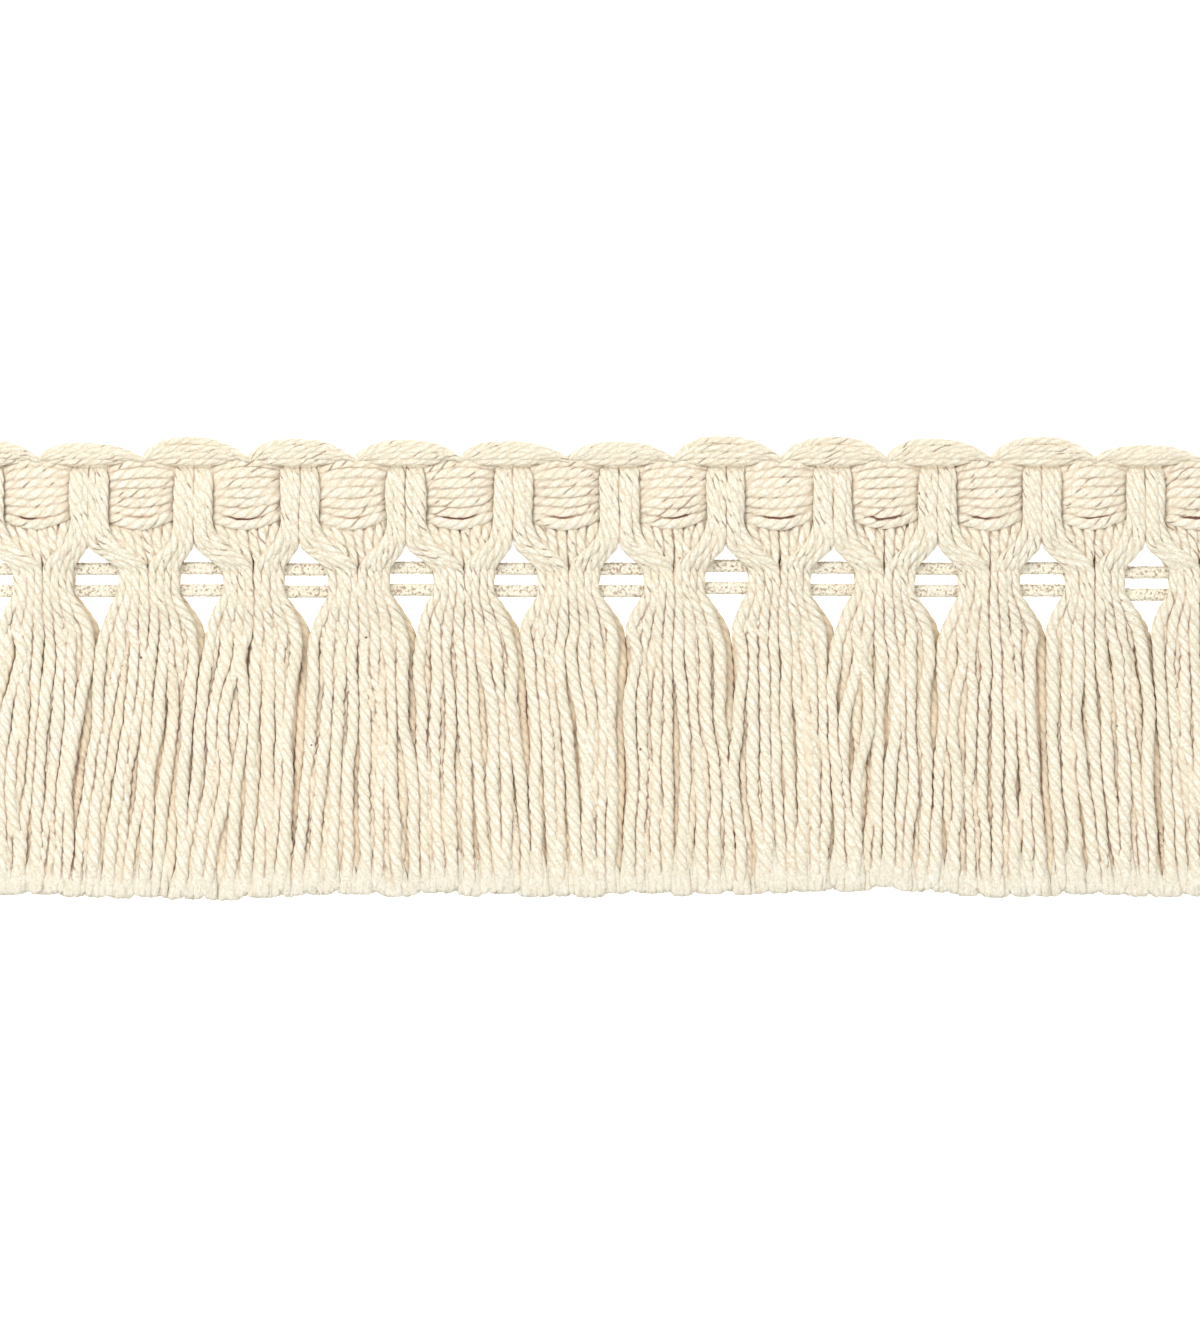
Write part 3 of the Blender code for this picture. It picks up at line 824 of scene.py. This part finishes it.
def tuft(paths, rng, end, locks):
    # soft locks of fibre that spread from each cut end to the hem
    ordered = paths if end == "end" else paths[:, ::-1]
    covered = rng.integers(*brush["long"], len(paths))
    base = ordered[np.arange(len(paths)), -1 - covered][:, None, None, :]
    last = ordered[:, -1][:, None, None, :]
    shape = (len(paths), locks, 1)
    place = np.linspace(-1, 1, locks)[None, :, None] + rng.normal(0, brush["uneven"], shape)
    share = np.array(brush["rings"])[None, None, :]
    x = base[..., 0] + (last[..., 0] - base[..., 0]) * share + place * brush["across"] * (0.4 + 0.6 * share)
    reach = hemAt(x[..., -1:]) + rng.uniform(-0.1, 0.2, shape)
    y = base[..., 1] + (reach - base[..., 1]) * share
    level = base[..., 2] + (last[..., 2] - base[..., 2]) * share
    z = level + brush["deep"] * (1.6 - np.abs(place)) + rng.normal(0, brush["fuzz"], shape) * share
    spots = np.stack([x, y, np.maximum(z, brush["lowest"])], axis=3).reshape(-1, len(brush["rings"]), 3)
    tone = rng.uniform(0, 1, len(spots))
    thick = np.array([brush["thick"]]) * (brush["locks"] / locks) ** 0.5  # fewer locks are thicker
    # painted shade: a little over the locks, and more down their sides
    return layYarns(
        spots, rng, (1, 0, 0), radius=thick, groove=0.0, sides=brush["sides"], flat=0.5, tip=1.0, tone=tone,
        twist=0.0, shade=0.2, edge=0.15, wide=1.5, solid=False,
    )


def settle(paths, rng):
    # small swings, the grooves that the cords press, and the table under it all
    free = 0.4 + 0.6 * smoothStep(paths[..., 2], 1.5, 2.1)
    paths[..., 0] += wander(rng, paths.shape[:2], *tassel["drift"]) * free
    paths[..., 2] += wander(rng, paths.shape[:2], *tassel["bob"])
    for level, depth in tassel["pinches"]:
        near = np.exp(-(((paths[..., 1] - level) / tassel["pinchWidth"]) ** 2))
        paths[..., 2] -= depth * (near * smoothStep(paths[..., 2], 3.2, 4.2))
    paths[..., 2] = np.maximum(paths[..., 2], tassel["lowest"])


def tasselYarns(index, rng):
    # the paths of each kind of yarn, its cut ends, and which way its upper side faces
    legs = []
    for side in (-1, 1):
        for k, fibre in enumerate(tassel["legFibres"]):
            place = k if side < 0 else tassel["columns"] - 1 - k
            legs.append(legPath(index, side, fibre, place, rng))
    middles = [middlePath(index, way, rng) for way in tassel["middles"]]
    inners = [innerPath(index, place, rng) for place in tassel["inners"]]
    rings = tassel["rings"]
    return (
        (smoothPaths(legs, rings["leg"]), ("start", "end"), -1),
        (smoothPaths(middles, rings["middle"]), ("end",), 1),
        (smoothPaths(inners, rings["inner"]), ("end",), -1),
    )


def makeTassel(index):
    rng = np.random.default_rng(tassel["seed"] + index)
    name = f"tassel_{index + 1:02d}"
    lots = []
    for paths, ends, outward in tasselYarns(index, rng):
        settle(paths, rng)
        y, z = paths[..., 1], paths[..., 2]
        tip = endMarks(paths, ends)
        pressed = smoothStep(y, 8.0, 16.0) * smoothStep(z, 2.2, 3.6)
        if outward > 0:
            pressed *= 1 - smoothStep(y, 18.0, 21.0)
        low = 1 - smoothStep(z, 1.4, 2.0)
        look = {
            "radius": yarn["radius"] * (1 - tassel["pressed"] * pressed) * endDome(paths, ends),
            "wide": tassel["wide"] + tassel["brushedWide"] * tip + tassel["lowWide"] * low,
            "flat": tassel["flat"] - tassel["brushedFlat"] * tip,
            "groove": yarn["groove"] * (1 - tip),
            "shade": sunkShade(paths, outward),
            "line": tasselLine(index),
        }
        lots.append(layYarns(paths, rng, (1, 0, 0), tip=tip, outward=outward, **look))
        for end in ends:
            upper = outward > 0 or end == "start"
            lots.append(tuft(paths, rng, end, brush["locks"] if upper else brush["backLocks"]))
    keepPiece("yarns_" + name, lots, cotton, "yarn", name)


for index in range(count):
    makeTassel(index)
print("tassels laid")

heading = {
    "seed": 71,
    "rings": 250,
    "count": 7,
    "levels": {  # of the lowest and highest yarn
        "middle": (24.15, 34.2),
        "side": (25.4, 33.3),
        "pinched": (26.3, 31.9),
    },
    "stops": ((-1.14, "pinched"), (-0.86, "side"), (0.0, "middle"), (0.86, "side"), (1.14, "pinched")),
    "front": 5.45,
    "side": 4.95,
    "pinched": 3.25,
    "blockGap": 0.2,
    "crown": 0.55,  # how far the highest yarn lies back from the middle ones
    "lowestCrown": 0.35,
    "slant": 0.25,
    "lift": (-0.15, 0.2),
    "shift": (-0.12, 0.12),
    "sway": ((30, 43), 0.12),
    "radius": 0.8,
    "lowestRadius": 0.84,
    "wide": 1.42,
    "groove": 0.12,
    "hidden": (25.6, 27.5, 29.4, 31.3, 33.2),  # levels of the yarns that fill the heading from below
    "hiddenRadius": 0.93,
    "hiddenWide": 1.1,
}


def headingPath(row, rng):
    share = row / (heading["count"] - 1)
    level = {key: low + (high - low) * share for key, (low, high) in heading["levels"].items()}
    points = [(pairX(-1), level["pinched"], heading["pinched"])]
    for index in range(count):
        half = (legX(index, 1) - legX(index, -1)) / 2 - trim["legWidth"] / 2 - heading["blockGap"]
        crown = heading["crown" if row else "lowestCrown"] * (2 * share - 1) ** 2
        lift = rng.uniform(*heading["lift"])
        shift = rng.uniform(*heading["shift"])
        z = {
            "pinched": heading["pinched"],
            "side": heading["side"] - crown,
            "middle": heading["front"] - crown + lift,
        }
        for across, part in heading["stops"]:
            y = level[part] + across * heading["slant"] + shift
            points.append((blockX(index) + across * half, y, z[part]))
    return points + [(pairX(count - 1), level["pinched"], heading["pinched"])]


def headingLine(spots):
    # painted dark shade lines, stronger where the yarns dip beside the legs, and in a short curve over the
    # lowest yarn
    dip = 1 - smoothStep(spots[..., 2], 4.3, 5.1)
    away = np.abs(spots[..., 0, None] - np.array([blockX(index) for index in range(count)])).min(axis=-1)
    curve = (1 - smoothStep(away, 1.6, 3.4)) * (1 - smoothStep(spots[..., 1], 25.4, 26.0))
    return 0.5 + 1.1 * dip + 2.0 * curve


def hiddenPath(y):
    return [(pairX(-1), y, 2.55), (0, y, 2.6), (pairX(count - 1), y, 2.55)]


def makeHeading():
    rng = np.random.default_rng(heading["seed"])
    rows = smoothPaths([headingPath(row, rng) for row in range(heading["count"])], heading["rings"])
    rows[..., 2] += wander(rng, rows.shape[:2], *heading["sway"])
    hidden = smoothPaths([hiddenPath(y) for y in heading["hidden"]], heading["rings"])
    look = {"wide": heading["wide"], "groove": heading["groove"], "line": headingLine}
    hiddenLook = {"radius": heading["hiddenRadius"], "wide": heading["hiddenWide"], "outward": -1}
    lots = [
        layYarns(rows[1:], rng, (0, 1, 0), radius=heading["radius"], **look),
        layYarns(rows[:1], rng, (0, 1, 0), radius=heading["lowestRadius"], **look),
        layYarns(hidden, rng, (0, 1, 0), **hiddenLook),
    ]
    keepPiece("heading_yarns", lots, cotton, "heading", "heading_bundle")


makeHeading()
print("heading laid")

arch = {
    "seed": 92,
    "rings": 30,
    "peak": 38.1,
    "valley": 35.2,
    "front": 5.55,
    "yarns": 4,
    "radius": 0.76,
    "taper": 0.35,
    "foot": 34.4,
    "curl": 0.6,
    "stops": (-1.12, -1.0, -0.8, -0.5, -0.2, 0.0, 0.2, 0.5, 0.8, 1.0, 1.12),  # past 1, behind the next
    "full": 2.6,  # over 2, fuller than a round arch
    "under": {"from": 0.9, "y": 0.25, "z": 0.9, "slope": 3.0, "plunge": 8.0},  # left foot, behind an arch
    "over": {"slope": 3.0, "plunge": 9.0},  # right foot, before the next arch
    "crest": 0.9,  # how far the middle yarns stand out
    "sink": 2.3,  # how far the inner yarn lies back at the feet
    "groove": 0.12,
    # painted shade over the whole arch, and how strong its painted dark shade lines are
    "shade": 0.24,
    "line": 0.8,
}


def archTaper(along):
    return 1 - arch["taper"] * np.clip(np.abs(along), 0, 1) ** 3


def archPath(index, which):
    # share 0 is the outer yarn, 1 the inner one; the first and last arches are cut at their peaks
    share = which / (arch["yarns"] - 1)
    cutLeft = index < 0
    cutRight = index == count - 1
    left = pairX(index) if cutLeft else blockX(index)
    right = pairX(index) if cutRight else blockX(index + 1)
    lean = 0.0 if cutLeft or cutRight else trim["archLean"][index]
    peak = pairX(index) + lean
    rise = trim["archRise"][index] if index >= 0 else 0.0
    under, over = arch["under"], arch["over"]
    points = []
    for along in arch["stops"]:
        if (cutLeft and along < 0) or (cutRight and along > 0):
            continue
        reach = peak - left if along < 0 else right - peak
        swell = max(0.0, 1 - abs(along) ** arch["full"])
        edge = arch["valley"] + (arch["peak"] + rise * (1 - share) - arch["valley"]) * swell
        top = edge - arch["radius"] * archTaper(along)
        bottom = min(top, arch["foot"] + arch["curl"] * along**2)
        y = top + (bottom - top) * share
        z = arch["front"] + arch["crest"] * share * (1 - share) - arch["sink"] * share**1.7 * (1 - swell**0.7)
        past = max(0.0, abs(along) - 1.0)
        if along < -under["from"]:
            y -= under["y"] + under["slope"] * (-under["from"] - along)
            z -= under["z"] + under["plunge"] * past
        elif along > 0:
            y -= over["slope"] * past
            z -= over["plunge"] * past
        points.append((peak + along * reach, y, z))
    return points


def makeEdging():
    rng = np.random.default_rng(arch["seed"])
    first, last = arch["stops"][0], arch["stops"][-1]
    lots = []
    for index in range(-1, count):
        for which in range(arch["yarns"]):
            rings = arch["rings"] if 0 <= index < count - 1 else arch["rings"] // 2
            path = smoothPath(archPath(index, which), rings)[None]
            along = np.linspace(first if index >= 0 else 0.0, last if index < count - 1 else 0.0, rings)[None]
            lots.append(
                layYarns(
                    path, rng, (0, 1, 0), radius=arch["radius"] * archTaper(along), groove=arch["groove"],
                    shade=arch["shade"], line=lambda spots: arch["line"],
                )
            )
    keepPiece("edging_yarns", lots, cotton, "heading", "scallop_edging")


makeEdging()
print("edging laid")

cord = {
    "seed": 31,
    "strands": 4,
    "stitch": 3.1,
    "across": 0.62,
    "deep": 0.34,
    "radius": 0.5,
    "groove": 0.1,
    "rings": 620,
    "sides": 8,
    "held": 5.6,  # half the width over which a neck holds it level
}


def makeCord(name):
    rng = np.random.default_rng(cord["seed"] + len(name))
    low, high = boxOf(name)
    level = (low[1] + high[1]) / 2 - (max(trim["cordRise"]) + min(trim["cordRise"])) / 2
    height = (low[2] + high[2]) / 2
    stops = [(low[0], level)]
    for index in range(count):
        before = trim["cordRise"][index - 1] if index else 0.0
        stops.append((neckX(index) - cord["held"], level + before))
        stops.append((neckX(index) + cord["held"], level + trim["cordRise"][index]))
    stops.append((high[0], level))
    x = np.linspace(low[0], high[0], cord["rings"])
    y = np.interp(x, [stop[0] for stop in stops], [stop[1] for stop in stops])
    paths = []
    for k in range(cord["strands"]):
        turn = 2 * math.pi * (x / cord["stitch"] + k / cord["strands"])
        z = height + cord["deep"] * np.sin(2 * turn)
        paths.append(np.stack([x, y + cord["across"] * np.sin(turn), z], axis=1))
    look = {"radius": cord["radius"], "groove": cord["groove"], "sides": cord["sides"], "edge": 0.0}
    keepPiece(name + "_braid", [layYarns(np.array(paths), rng, (0, 1, 0), **look)], cordCotton, "cord", name)


for name in ("cord_upper", "cord_lower"):
    makeCord(name)
print("cords laid")

measureGaps()
for piece in pieces:
    joinedPiece(**piece)
print("yarns joined:", len(pieces), "pieces")

studio = {
    "floorSize": 3.0,  # in metres, as are the lights' places and sizes
    "floorDrop": 0.05,
    "floorColour": (0.85, 0.85, 0.85, 1),
    "floorGlow": 0.76,
    "lights": {
        "key": {"spot": (-0.55, 0.5, 0.9), "size": 0.5, "energy": 7.0, "colour": (1.0, 0.99, 0.97)},
        "fill": {"spot": (0.6, -0.35, 0.9), "size": 0.8, "energy": 2.0, "colour": (0.98, 0.99, 1.0)},
    },
    "white": (1, 1, 1, 1),
    "ambient": 0.805,
    "frameHeight": 223.8,  # what the camera sees, top to bottom, at frameZ
    "frameZ": 3,
    "lens": 180.0,
    "sensor": 36.0,
    "middle": (-3.6, -0.5),
}


def makeFloor():
    bm = bmesh.new()
    bmesh.ops.create_grid(bm, x_segments=1, y_segments=1, size=studio["floorSize"])
    bmesh.ops.translate(bm, verts=bm.verts, vec=(0, 0, -studio["floorDrop"] * mm))
    mesh = bpy.data.meshes.new("floor")
    bm.to_mesh(mesh)
    bm.free()
    floor = addObject("floor", mesh)
    pale = Finish("paleFloor")
    pale.set({"Base Color": studio["floorColour"], "Roughness": 1.0, "Specular IOR Level": 0.0})
    pale.set({"Emission Color": studio["white"], "Emission Strength": studio["floorGlow"]})
    mesh.materials.append(pale.material)


def makeLight(name, spot, size, energy, colour):
    data = bpy.data.lights.new(name, "AREA")
    data.size = size
    data.energy = energy
    data.color = colour
    light = addObject(name, data)
    light.location = spot
    light.rotation_euler = light.location.to_track_quat("Z", "Y").to_euler()


def makeWorld():
    world = bpy.data.worlds.new("studio")
    world.use_nodes = True
    background = world.node_tree.nodes["Background"]
    background.inputs["Color"].default_value = studio["white"]
    background.inputs["Strength"].default_value = studio["ambient"]
    bpy.context.scene.world = world
    bpy.context.scene.view_settings.view_transform = "Standard"


def makeCamera():
    data = bpy.data.cameras.new("camera")
    data.sensor_width = studio["sensor"]
    data.lens = studio["lens"]
    data.clip_end = 20.0
    camera = addObject("camera", data)
    x, y = studio["middle"]
    distance = studio["frameHeight"] * mm * data.lens / data.sensor_width
    camera.location = (x * mm, y * mm, distance + studio["frameZ"] * mm)
    bpy.context.scene.camera = camera


makeFloor()
for name, light in studio["lights"].items():
    makeLight(name, **light)
makeWorld()
makeCamera()
print("studio set")
